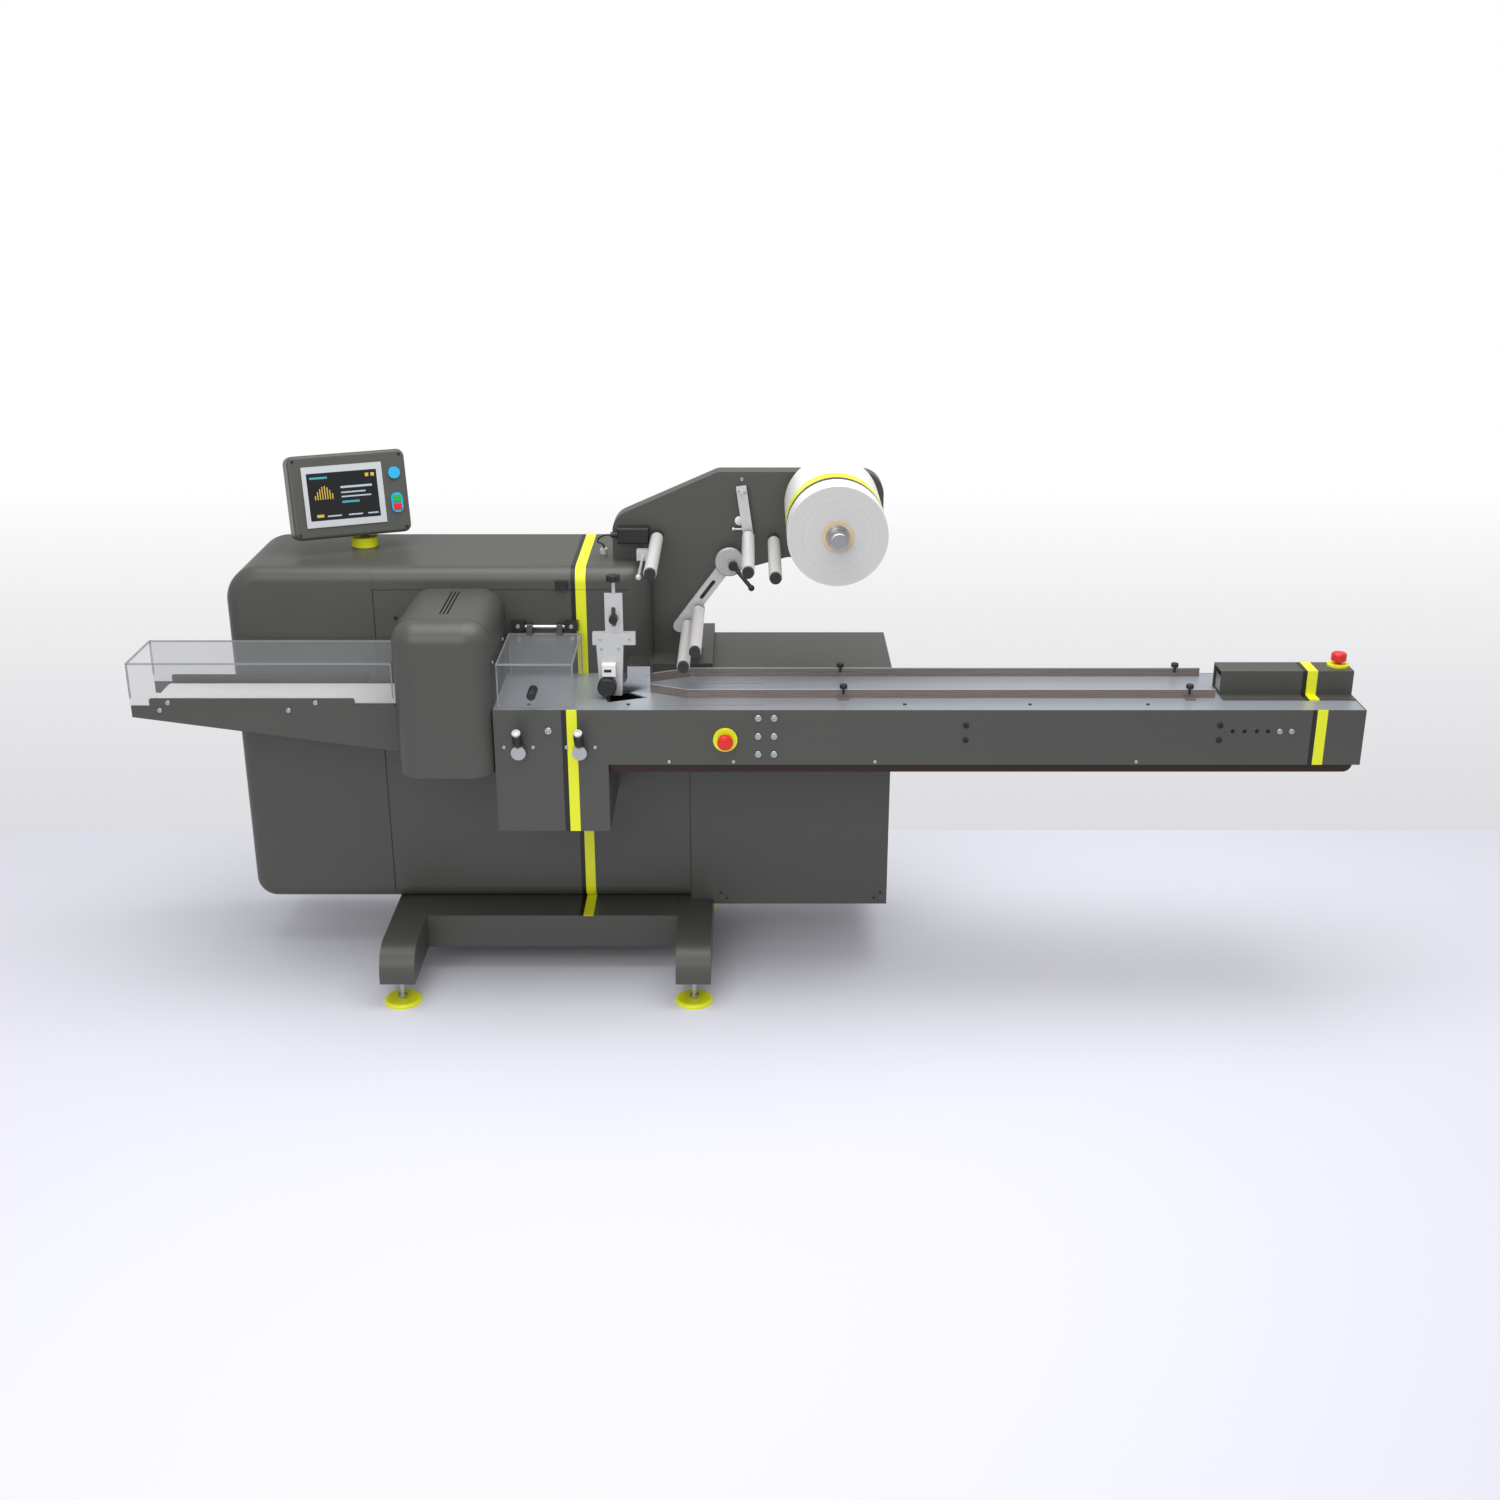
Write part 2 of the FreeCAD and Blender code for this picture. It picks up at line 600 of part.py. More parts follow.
def build_jaw_cover():
    cover = cover_form(0).cut(cover_form(cover_wall))
    way = (cover_left - 1, cover_right + 1)
    cover = cover.cut(box(way, (-tunnel_half, tunnel_half), (tunnel_low, tunnel_high)))
    for x in (-830, -820, -810):
        slot = plan_form([(x - 2, -131, 1.9), (x + 2, -131, 1.9), (x + 2, 93, 1.9), (x - 2, 93, 1.9)],
                         (cover_top - 10, cover_top + 1))
        cover = cover.cut(slot)
    groove = cover_form(-1).cut(cover_form(1.5))
    band = box((cover_left - 2, cover_right + 2), (-180.5, -177.5), (cover_bottom + 5, cover_top + 2))
    pieces["jaw_cover"] = cover.cut(groove.common(band))
    back = housing_front - cover_wall
    middle = (cover_left + cover_right) / 2
    jaws = []
    for name, shaft_z, jaw_z in (("upper_jaw", 1062, (1006, 1040)), ("lower_jaw", 826, (846, 880))):
        jaw = box((middle - 9, middle + 9), (-78, 78), jaw_z)
        teeth = [along_y((middle - 6 + 3 * i, jaw_z[0] if name == "upper_jaw" else jaw_z[1]), (-79, 79), 0.8)
                 for i in range(5)]
        jaw = jaw.cut(Part.makeCompound(teeth))
        carrier = along_y((middle, shaft_z), (-86, back), 24)
        jaws.append(jaw.fuse(carrier).removeSplitter())
    pieces["sealing_jaws"] = Part.makeCompound(jaws)


def build_outfeed():
    low, high = plate_low_top, plate_high_top
    corners = [(outfeed_left, 848, 0), (outfeed_left, low, 0), (plate_rise[0], low, 0), (plate_rise[0], high, 6),
               (plate_rise[1], high, 6), (plate_rise[1], low, 0), (cover_left, low, 0), (cover_left, 745, 0)]
    outer, inner = outfeed_half, outfeed_half - sheet
    bracket = box(bracket_ends, (outer, housing_front), (790, 840))
    pieces["outfeed_side_plates"] = Part.makeCompound([
        side_form(corners, (-outer, -inner)), side_form(corners, (inner, outer)).fuse(bracket)])
    ends = roller_ends
    axis_z = belt_top - belt_thick - belt_roller
    bed = box(bed_ends, (-inner, inner), (axis_z - 5, axis_z + 5))
    pieces["outfeed_rollers"] = Part.makeCompound([bed] + [
        along_y((x, axis_z), (-belt_half, belt_half), belt_roller).fuse(along_y((x, axis_z), (-inner, inner), 6))
        for x in ends])

    def loop(radius):
        flat = box(ends, (-belt_half, belt_half), (axis_z - radius, axis_z + radius))
        turns = [along_y((x, axis_z), (-belt_half, belt_half), radius) for x in ends]
        return flat.fuse(turns).removeSplitter()

    pieces["outfeed_belt"] = loop(belt_roller + belt_thick).cut(loop(belt_roller))
    top = outfeed_cover_top
    hood = box(tunnel_ends, (-outer, outer), (low, top))
    hood = round_edges(hood, 10, lambda b: near(b.ZMin, top) and b.XMax - b.XMin > 100)
    through = (tunnel_ends[0] - 1, tunnel_ends[1] + 1)
    inside = box(through, (-outer + clear_thick, outer - clear_thick), (low - 1, top - clear_thick))
    raised = box(plate_rise, (-outer - 1, outer + 1), (low - 1, high))
    pieces["tunnel_cover"] = hood.cut(inside).cut(raised)


def build_operator_panel():
    swivel = upright(swivel_x, swivel_y, (hood_top, hood_top + swivel_height), swivel_radius)
    bore = upright(swivel_x, swivel_y, (hood_top + 8, hood_top + swivel_height + 1), 12 + running_fit)
    pieces["panel_swivel"] = round_edges(swivel, 4, lambda b: near(b.ZMin, hood_top + swivel_height)).cut(bore)
    half_x, half_z = panel_width / 2, panel_height / 2
    face = -panel_depth / 2
    body = box((-half_x, half_x), (face, -face), (-half_z, half_z))
    body = round_edges(body, 22, lambda b: b.YMax - b.YMin > 50)
    body = round_edges(body, 10, lambda b: near(b.YMax, face))
    screen = box((-130.5, 97.5), (face - 3, face), (-86, 86))
    blue = along_y((132, 52), (face - 7, face), 17)
    oval = side_form([(115.5, -62, 16), (148.5, -62, 16), (148.5, -5, 16), (115.5, -5, 16)], (face - 5, face))
    buttons = Part.makeCompound([blue, oval])
    placement = FreeCAD.Placement(Vector(-1162, 363, panel_z), FreeCAD.Rotation(panel_yaw, 0, -panel_tilt))
    for name, shape in (("panel_housing", body), ("panel_screen", screen), ("panel_buttons", buttons)):
        shape.Placement = placement
        pieces[name] = shape
    neck = upright(swivel_x, swivel_y, (hood_top + swivel_height - 18, panel_z - 60), 12)
    pieces["panel_housing"] = pieces["panel_housing"].fuse(neck)


def place():
    """Stand every piece with the middle of the whole machine over the origin."""
    whole = Part.makeCompound(list(pieces.values())).BoundBox
    shift = Vector(-(whole.XMin + whole.XMax) / 2, -(whole.YMin + whole.YMax) / 2, -whole.ZMin)
    for shape in pieces.values():
        shape.translate(shift)
    return shift


def build():
    build_base()
    build_housing()
    build_reel_stand()
    build_infeed()
    build_former()
    build_sealing()
    build_jaw_cover()
    build_outfeed()
    build_operator_panel()
    return place()


def main():
    build()
    os.makedirs("parts", exist_ok=True)
    for name, shape in pieces.items():
        shape.exportStep("parts/" + name + ".step")
        if not shape.isValid() or shape.Volume <= 0:
            print("bad shape", name, shape.Volume)
    print(len(pieces), "pieces")


if __name__ == "__main__":
    main()
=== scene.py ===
import math

import bmesh
import bpy
from mathutils import Matrix, Vector


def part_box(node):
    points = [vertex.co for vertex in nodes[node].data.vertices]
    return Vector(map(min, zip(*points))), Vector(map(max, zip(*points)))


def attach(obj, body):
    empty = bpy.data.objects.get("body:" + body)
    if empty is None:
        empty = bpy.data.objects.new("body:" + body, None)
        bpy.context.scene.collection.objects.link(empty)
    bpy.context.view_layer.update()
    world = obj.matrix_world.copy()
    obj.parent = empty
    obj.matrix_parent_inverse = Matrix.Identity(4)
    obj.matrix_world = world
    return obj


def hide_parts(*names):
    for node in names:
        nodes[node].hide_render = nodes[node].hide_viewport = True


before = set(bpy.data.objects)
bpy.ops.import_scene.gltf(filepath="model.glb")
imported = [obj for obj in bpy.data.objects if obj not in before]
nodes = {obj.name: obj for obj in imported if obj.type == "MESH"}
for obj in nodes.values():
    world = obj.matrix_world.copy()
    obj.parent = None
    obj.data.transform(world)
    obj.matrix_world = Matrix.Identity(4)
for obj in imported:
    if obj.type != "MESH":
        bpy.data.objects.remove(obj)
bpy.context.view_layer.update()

# The machine's own grid: x from the camera line, y from the middle of the lane, z from the floor, in mm
gridCorner = {"infeedEnd": 1659, "plateFace": -197}
plateLow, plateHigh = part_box("infeed_front_plate")
gridX = plateHigh.x * 1000 - gridCorner["infeedEnd"]
gridY = plateLow.y * 1000 - gridCorner["plateFace"]


def at(x, y, z):
    return Vector(((x + gridX) / 1000, (y + gridY) / 1000, z / 1000))


def hexColour(text):
    parts = [int(text[i:i + 2], 16) / 255 for i in (0, 2, 4)]
    return [p / 12.92 if p <= 0.04045 else ((p + 0.055) / 1.055) ** 2.4 for p in parts] + [1]


class Wire:
    # One shader socket, so that maths on it reads as maths
    def __init__(self, paint, socket):
        self.paint = paint
        self.socket = socket

    def __add__(self, other):
        return self.paint.maths("ADD", self, other)

    def __sub__(self, other):
        return self.paint.maths("SUBTRACT", self, other)

    def __rsub__(self, other):
        return self.paint.maths("SUBTRACT", other, self)

    def __mul__(self, other):
        return self.paint.maths("MULTIPLY", self, other)

    def __gt__(self, other):
        return self.paint.maths("GREATER_THAN", self, other)

    def __lt__(self, other):
        return self.paint.maths("LESS_THAN", self, other)

    __radd__ = __add__
    __rmul__ = __mul__


class Paint:
    # A material under construction
    def __init__(self, name):
        self.material = bpy.data.materials.new(name)
        self.material.use_nodes = True
        self.tree = self.material.node_tree
        self.shader = self.tree.nodes["Principled BSDF"]

    def node(self, kind, settings=None, values=None, out=0):
        made = self.tree.nodes.new(kind)
        for key, value in (settings or {}).items():
            setattr(made, key, value)
        for key, value in (values or {}).items():
            self.feed(made.inputs[key], value)
        return Wire(self, made.outputs[out])

    def feed(self, socket, value):
        if isinstance(value, Wire):
            self.tree.links.new(value.socket, socket)
        else:
            socket.default_value = value

    def maths(self, operation, first, second):
        return self.node("ShaderNodeMath", {"operation": operation}, {0: first, 1: second})

    def mix(self, mask, first, second):
        return self.node("ShaderNodeMix", {"data_type": "RGBA"}, {"Factor": mask, 6: first, 7: second}, out=2)

    def place(self):
        # Position in the machine's grid, in mm, as three numbers
        spot = self.node("ShaderNodeTexCoord", out="Object")
        made = self.tree.nodes.new("ShaderNodeSeparateXYZ")
        self.feed(made.inputs[0], spot)
        x, y, z = (Wire(self, s) for s in made.outputs)
        return spot, x * 1000 - gridX, y * 1000 - gridY, z * 1000

    def between(self, value, low, high):
        return (value > low) * (value < high)

    def noise(self, spot, scale, detail=2.0, stretch=None):
        if stretch:
            spot = self.node("ShaderNodeMapping", None, {"Vector": spot, "Scale": stretch})
        return self.node("ShaderNodeTexNoise", None, {"Vector": spot, "Scale": scale, "Detail": detail})

    def bump(self, height, strength, distance=0.0005, edge=0.0):
        values = {"Height": height, "Strength": strength, "Distance": distance}
        if edge:
            values["Normal"] = self.node("ShaderNodeBevel", {"samples": 4}, {"Radius": edge})
        return self.node("ShaderNodeBump", None, values)

    def finish(self, **sockets):
        for key, value in sockets.items():
            self.feed(self.shader.inputs[key.replace("_", " ")], value)
        return self.material


colours = {"charcoal": hexColour("484944"), "yellow": hexColour("e3e81c"), "black": hexColour("15150f"),
           "aluminium": hexColour("c6c7c6"), "brown": hexColour("3a2c26")}


def stripedPaint(name, stripes=(), above=0.0):
    # Powder coat with a fine orange peel, and bands across the machine
    p = Paint(name)
    spot, x, _, z = p.place()
    cloud = p.noise(spot, 3.0)
    colour = p.mix(cloud, [c * 0.93 for c in colours["charcoal"][:3]] + [1],
                   [c * 1.07 for c in colours["charcoal"][:3]] + [1])
    for low, high, tone in stripes:
        band = p.between(x, low, high)
        if above:
            band = band * (z > above)
        colour = p.mix(band, colour, colours[tone])
    peel = p.noise(spot, 900.0)
    return p.finish(Base_Color=colour, Roughness=cloud * 0.08 + 0.38, Normal=p.bump(peel, 0.12, edge=0.0015))


def brushed(name, tone, rough=0.3, stretch=(2, 120, 120), metallic=1.0, edge=0.0008):
    p = Paint(name)
    spot, _, _, _ = p.place()
    grain = p.noise(spot, 14.0, 4.0, stretch)
    colour = p.mix(grain, [c * 0.82 for c in tone[:3]] + [1], [min(1, c * 1.12) for c in tone[:3]] + [1])
    return p.finish(Base_Color=colour, Metallic=metallic, Roughness=grain * 0.14 + (rough - 0.05),
                    Normal=p.bump(grain, 0.15, edge=edge))


def moulded(name, text, rough=0.35, grainSize=1400.0):
    p = Paint(name)
    spot = p.place()[0]
    grain = p.noise(spot, grainSize)
    tone = hexColour(text)
    colour = p.mix(grain, [c * 0.94 for c in tone[:3]] + [1], [min(1, c * 1.05) for c in tone[:3]] + [1])
    return p.finish(Base_Color=colour, Roughness=grain * 0.08 + rough,
                    Normal=p.bump(grain, 0.08, edge=0.0008))


def clearSheet(name, alpha):
    p = Paint(name)
    spot = p.place()[0]
    haze = p.noise(spot, 6.0)
    colour = p.mix(haze, [0.30, 0.31, 0.32, 1], [0.34, 0.35, 0.36, 1])
    return p.finish(Base_Color=colour, Alpha=alpha, Roughness=0.08)


filmBands = {"front": -192, "width": 386, "yellow": (0.30, 0.44), "black": (0.235, 0.30),
             "axis": (228, 1376), "ring": 1.6}


def woundFilm(name):
    p = Paint(name)
    _, x, y, z = p.place()
    dx, dz = x - filmBands["axis"][0], z - filmBands["axis"][1]
    away = p.node("ShaderNodeMath", {"operation": "SQRT"}, {0: dx * dx + dz * dz})
    rings = p.node("ShaderNodeMath", {"operation": "FRACT"}, {0: away * (1 / filmBands["ring"])})
    sideOn = p.between(y, filmBands["front"] + 1, filmBands["front"] + filmBands["width"] - 1)
    layer = p.noise(away * 0.35, 1.0, 6.0)
    face = p.mix(layer * 0.8 + rings * 0.2, hexColour("a9a9a7"), hexColour("d6d6d4"))
    side = hexColour("dededd")
    along = (y - filmBands["front"]) * (1 / filmBands["width"])
    bands = p.mix(p.between(along, *filmBands["yellow"]), side, colours["yellow"])
    bands = p.mix(p.between(along, *filmBands["black"]), bands, colours["black"])
    return p.finish(Base_Color=p.mix(sideOn, face, bands), Roughness=0.34 - layer * 0.06,
                    Normal=p.bump(rings * (1 - sideOn), 0.25, 0.0003))


rollerCaps = {"front": -188, "rear": 186}


def rollerFinish(name):
    # Satin tube with dark end caps
    p = Paint(name)
    spot, _, y, _ = p.place()
    grain = p.noise(spot, 20.0, 3.0, (60, 2, 60))
    cap = (y < rollerCaps["front"]) + (y > rollerCaps["rear"])
    colour = p.mix(cap, hexColour("cbc9c8"), hexColour("222222"))
    return p.finish(Base_Color=colour, Metallic=0.25 - cap * 0.25, Roughness=grain * 0.1 + 0.33,
                    Normal=p.bump(grain, 0.08))


clampParts = {"pivot": (-58, 1206), "leverBehind": 191.5, "ringsPerMm": 0.14}


def clampFinish(name):
    # Turned aluminium disc behind, black lever in front
    p = Paint(name)
    _, x, y, z = p.place()
    dx, dz = x - clampParts["pivot"][0], z - clampParts["pivot"][1]
    away = p.node("ShaderNodeMath", {"operation": "SQRT"}, {0: dx * dx + dz * dz})
    rings = p.node("ShaderNodeMath", {"operation": "FRACT"}, {0: away * clampParts["ringsPerMm"]})
    disc = p.mix(rings, hexColour("9c9b9a"), hexColour("c4c3c2"))
    lever = y < clampParts["leverBehind"]
    return p.finish(Base_Color=p.mix(lever, disc, hexColour("181818")), Metallic=0.5 - lever * 0.5,
                    Roughness=rings * 0.08 + 0.34)


# Height in mm above which the guide strips get a painted highlight
paintedHighlightAbove = 923.5


def guideReflectionAndHighlight(name):
    # Polished strips with the warm brown of the room painted in as a painted reflection, and a painted
    # highlight on the upper edge
    p = Paint(name)
    spot, _, _, z = p.place()
    grain = p.noise(spot, 9.0, 3.0, (1, 90, 90))
    paintedReflection = p.mix(grain, hexColour("6f645f"), hexColour("968a84"))
    return p.finish(Base_Color=p.mix(z > paintedHighlightAbove, paintedReflection, hexColour("c9c9cb")), Metallic=0.45,
                    Roughness=grain * 0.12 + 0.22)


hingeBlocks = ((-672.5, -633.5), (-522.5, -483.5))


def hingeFinish(name):
    # Black hinge blocks on a bright rod
    p = Paint(name)
    spot, x, _, _ = p.place()
    block = p.between(x, *hingeBlocks[0]) + p.between(x, *hingeBlocks[1])
    grain = p.noise(spot, 30.0, 2.0, (1, 60, 60))
    colour = p.mix(block, hexColour("c4c5c8"), hexColour("1b1b1a"))
    return p.finish(Base_Color=colour, Metallic=0.8 - block * 0.8,
                    Roughness=grain * 0.1 + 0.28, Normal=p.bump(grain, 0.08, edge=0.0008))


print("finishes")
stripe = [(-490, -461, "yellow"), (-503, -490, "black")]
endStripe = [(1528, 1556, "yellow"), (1515, 1528, "black")]
plateStripe = [(-495, -467, "yellow"), (-509, -495, "black")] + endStripe
finishes = {
    "bodyPaint": stripedPaint("bodyPaint", stripe), "platePaint": stripedPaint("platePaint", plateStripe),
    "plainPaint": stripedPaint("plainPaint"), "beamPaint": stripedPaint("beamPaint", stripe, above=186.0),
    "hinge": hingeFinish("hinge"),
    "deckSteel": brushed("deckSteel", hexColour("aeb4bb"), 0.36, metallic=0.55),
    "clamp": clampFinish("clamp"),
    "guidePaintedReflection": guideReflectionAndHighlight("guidePaintedReflection"),
    "guideSteel": brushed("guideSteel", hexColour("b5b7ba"), 0.26),
    "aluminium": brushed("aluminium", colours["aluminium"], 0.36, (40, 40, 40), 0.35),
    "boltSteel": brushed("boltSteel", hexColour("b9b9b9"), 0.3, (30, 30, 30)),
    "crankSteel": brushed("crankSteel", hexColour("8f8f90"), 0.35, (30, 30, 30), 0.8),
    "panBrown": brushed("panBrown", colours["brown"], 0.4, metallic=0.6),
    "yellowPlastic": moulded("yellowPlastic", "e3e81c", 0.4),
    "blackPlastic": moulded("blackPlastic", "191919", 0.4),
    "whitePlastic": moulded("whitePlastic", "e2e2e0", 0.4),
    "redPlastic": moulded("redPlastic", "d8201c", 0.25),
    "bluePlastic": moulded("bluePlastic", "2aa6d8", 0.25),
    "greenPlastic": moulded("greenPlastic", "1fa648", 0.25),
    "screenGlass": moulded("screenGlass", "0b0e12", 0.12),
    "screenText": moulded("screenText", "aab8c0", 0.3),
    "screenAmber": moulded("screenAmber", "c9a93a", 0.3),
    "screenTeal": moulded("screenTeal", "3f9aa4", 0.3),
    "silverBezel": moulded("silverBezel", "b9bcc0", 0.3),
    "cardboard": moulded("cardboard", "c9b48a", 0.7, 300.0),
    "beltWhite": moulded("beltWhite", "e9e9e6", 0.55, 500.0), "clear": clearSheet("clear", 0.16),
    "clearEdge": clearSheet("clearEdge", 0.6), "film": woundFilm("film"), "roller": rollerFinish("roller"),
    # Near-black for the painted shade inside holes
    "paintedHoleShade": moulded("paintedHoleShade", "050505", 0.8)}

nodeFinish = {
    "bodyPaint": "left_housing right_housing hood", "platePaint": "infeed_front_plate end_cover",
    "beamPaint": "crossbeams", "hinge": "guard_hinge",
    "plainPaint": "legs electrical_cabinet cabinet_cover reel_plinth reel_plate jaw_cover "
                  "outfeed_side_plates "
                  "sealing_box panel_housing infeed_frame",
    "deckSteel": "front_deck lane_deck sealing_deck", "guidePaintedReflection": "lane_guides", "clamp": "arm_clamp",
    "guideSteel": "forming_box sealing_jaws reel_mandrel",
    "aluminium": "former_slide dancer_arm roller_arm sensor_bracket",
    "boltSteel": "foot_stems crank_left crank_right outfeed_rollers carrier_chain",
    "panBrown": "infeed_pan", "yellowPlastic": "foot_pads stop_collars panel_swivel",
    "blackPlastic": "hood_latch film_sensor sensor_lead guide_knobs former_knobs hand_knob guard_fittings",
    "whitePlastic": "position_indicator", "redPlastic": "front_stop_button end_stop_button",
    "bluePlastic": "panel_buttons", "silverBezel": "panel_screen", "cardboard": "film_core",
    "beltWhite": "outfeed_belt", "clear": "tunnel_cover clear_guard", "film": "film_roll",
    "roller": " ".join("guide_roller_" + letter for letter in "abcde")}
for finishName, names in nodeFinish.items():
    for nodeName in names.split():
        mesh = nodes[nodeName].data
        mesh.materials.clear()
        mesh.materials.append(finishes[finishName])
print("nodes finished")


def piece(name, mesh, finish, body="machine", smooth=True):
    data = bpy.data.meshes.new(name)
    mesh.to_mesh(data)
    mesh.free()
    data.materials.append(finishes[finish])
    made = bpy.data.objects.new(name, data)
    bpy.context.scene.collection.objects.link(made)
    if smooth:
        data.shade_smooth()
        edges = made.modifiers.new("edges", "EDGE_SPLIT")
        edges.split_angle = math.radians(35)
    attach(made, body)
    return made


def turned(axis):
    # Turns +Z onto the given direction
    return Vector((0, 0, 1)).rotation_difference(Vector(axis)).to_matrix().to_4x4()


def addLathe(mesh, profile, spot, axis, sides=24):
    # A turned form from (radius, height) points in mm along the axis
    frameMatrix = Matrix.Translation(spot) @ turned(axis)
    rings = []
    for radius, height in profile:
        ring = []
        for index in range(sides):
            turn = 2 * math.pi * index / sides
            local = Vector((radius * math.cos(turn), radius * math.sin(turn), height)) / 1000
            ring.append(mesh.verts.new(frameMatrix @ local))
        rings.append(ring)
    for lower, upper in zip(rings, rings[1:]):
        for index in range(sides):
            following = (index + 1) % sides
            mesh.faces.new((lower[index], lower[following], upper[following], upper[index]))
    mesh.faces.new(list(reversed(rings[0])))
    mesh.faces.new(rings[-1])


def addBlock(mesh, low, high, bevel=0.0):
    low, high = Vector(low), Vector(high)
    middle = (low + high) / 2
    size = high - low
    spread = Matrix.Translation(middle) @ Matrix.Diagonal((*size, 1))
    made = bmesh.ops.create_cube(mesh, size=1, matrix=spread)
    if bevel:
        edges = {edge for vert in made["verts"] for edge in vert.link_edges}
        bmesh.ops.bevel(mesh, geom=list(edges), offset=bevel / 1000, segments=2, affect="EDGES")


socketHead = [(0.1, -0.4), (9, -0.4), (9, 3), (8, 4.2), (5, 4.2), (4.6, 1.6), (0.1, 1.6)]


def turnedPiece(name, profile, spot, axis, sides, finish, body="machine"):
    mesh = bmesh.new()
    addLathe(mesh, profile, spot, axis, sides)
    return piece(name, mesh, finish, body)


def blockPiece(name, low, high, bevel, finish):
    mesh = bmesh.new()
    addBlock(mesh, at(*low), at(*high), bevel)
    return piece(name, mesh, finish)


def boltHeads(name, spots, axis, radius=9.0, finish="boltSteel", body="machine"):
    mesh = bmesh.new()
    scale = radius / 9.0
    profile = [(r * scale, h * scale) for r, h in socketHead]
    for spot in spots:
        addLathe(mesh, profile, at(*spot), axis, 20)
    return piece(name, mesh, finish, body)


def paintedHoleShades(name, spots, axis, radius, body="machine"):
    # Near-black discs on the surface: painted shade for the dark inside of each hole
    mesh = bmesh.new()
    for spot in spots:
        addLathe(mesh, [(radius + 0.8, -0.2), (radius + 0.6, 0.4), (radius, 0.5), (radius * 0.9, 0.1)],
                 at(*spot), axis, 16)
    return piece(name, mesh, "paintedHoleShade", body)


front = (0, -1, 0)
up = (0, 0, 1)
plateFace = gridCorner["plateFace"]

plateBolts = {"six": [(x, plateFace, z) for x in (22, 65) for z in (878, 826, 774)],
              "pairs": [(x, plateFace, z) for x in (583, 1269) for z in (857, 815)],
              "end": [(x, plateFace, 840) for x in (1431, 1463)],
              "small": [(-667, plateFace, 794), (-588, plateFace, 794), (-498, plateFace, 794),
                        (-420, plateFace, 794), (-220, plateFace, 752), (-45, plateFace, 752),
                        (340, plateFace, 752), (1050, plateFace, 752)],
              "large": [(-545, plateFace, 842)]}
boltHeads("plateBoltsSix", plateBolts["six"], front, 9.5)
boltHeads("plateBoltsPairs", plateBolts["pairs"], front, 8, "blackPlastic")
boltHeads("plateBoltsEnd", plateBolts["end"], front, 8)
boltHeads("plateBoltsSmall", plateBolts["small"], front, 5)
boltHeads("plateBoltLarge", plateBolts["large"], front, 10)
paintedHoleShades("plateHoleShades", [(x, plateFace, 840) for x in (1304, 1336, 1369, 1399)], front, 5)
boltHeads("deckScrews", [(x, -150, 900) for x in (-600, -330, 420, 760, 1080)], up, 5, "blackPlastic")
boltHeads("outfeedBolts", [(-1619, -106, 868), (-1595, -106, 890), (-1266, -106, 868),
                           (-1190, -106, 890)], front, 7)
boltHeads("cabinetScrews", [(-87, 121, 208), (-69, 121, 190), (371, 121, 190), (390, 121, 208)], front, 4,
          "blackPlastic")
boltHeads("jawCoverScrews", [(-693, y, z) for y in (-150, 60) for z in (745, 840, 1020)], (1, 0, 0), 5)
boltHeads("hingeBolts", [(-653, 96, 1046), (-503, 96, 1046)], front, 6)
boltHeads("hingeLowBolts", [(-653, 121, 1005), (-503, 121, 1005)], front, 7)
boltHeads("formerBolts", [(-405, -74, 1034), (-358, -74, 1034), (-408, -74, 1061),
                          (-328, -74, 1061)], front, 4)
boltHeads("armBolts", [(-23, 228, 1436)], front, 5)
boltHeads("dancerBolts", [(-29, 205, 1408), (-14, 205, 1404)], front, 4, body="dancer")
paintedHoleShades("hoodHoleShades", [(-1000, 121, 1063), (-1006, 121, 985)], front, 5)
print("fasteners")

knobSpots = {"x": (256, 1204), "y": (-93.5, 93.5), "strip": 925}
mesh = bmesh.new()
for knobX in knobSpots["x"]:
    for knobY in knobSpots["y"]:
        addLathe(mesh, [(4, -16), (4, 0), (10.5, 0.5), (10.5, 9), (9, 11), (0.1, 11.4)],
                 at(knobX, knobY, knobSpots["strip"] + 3), up, 28)
knobs = piece("guideKnobs", mesh, "blackPlastic")
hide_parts("guide_knobs")
blockPiece("baseApron", (-951, 106, 150), (-211, 166, 186.8), 1.0, "bodyPaint")

crank = {"left": -625, "right": -460, "height": 788, "start": -217, "lift": 16, "rise": 55,
         "grip": [(12.2, 10), (13.4, 12), (13.6, 30), (13.0, 54), (12.2, 58)],
         "end": [(11, 57), (12.6, 58.5), (12.6, 62.5), (11.5, 63.5), (5, 63.5), (4.5, 61), (0.1, 61)]}


def crankGrip(side):
    rise = math.radians(crank["rise"])
    way = Vector((0, -math.cos(rise), math.sin(rise)))
    root = at(crank[side], crank["start"], crank["height"] + crank["lift"])
    body = side + "_crank"
    turnedPiece(side + "CrankGrip", crank["grip"], root, way, 28, "blackPlastic", body)
    turnedPiece(side + "CrankEnd", crank["end"], root, way, 28, "crankSteel", body)


crankGrip("left")
crankGrip("right")

panel = {"centre": (-1162, 363, 1362), "yaw": 22.6, "tilt": 12, "face": -40, "screen": (-118, 81, -67, 67)}
panelTurn = (Matrix.Translation(at(*panel["centre"])) @ Matrix.Rotation(math.radians(panel["yaw"]), 4, "Z")
             @ Matrix.Rotation(math.radians(-panel["tilt"]), 4, "X"))


def panelPiece(name, finish, blocks, depth, out, bevel=0.6):
    # Flat shapes (x low, x high, z low, z high) on the operator panel's face
    mesh = bmesh.new()
    base = panel["face"] - depth
    for x0, x1, z0, z1 in blocks:
        low, high = (x0 / 1000, (base - out) / 1000, z0 / 1000), (x1 / 1000, base / 1000, z1 / 1000)
        addBlock(mesh, low, high, bevel)
    mesh.transform(panelTurn)
    return piece(name, mesh, finish, "operator_panel")


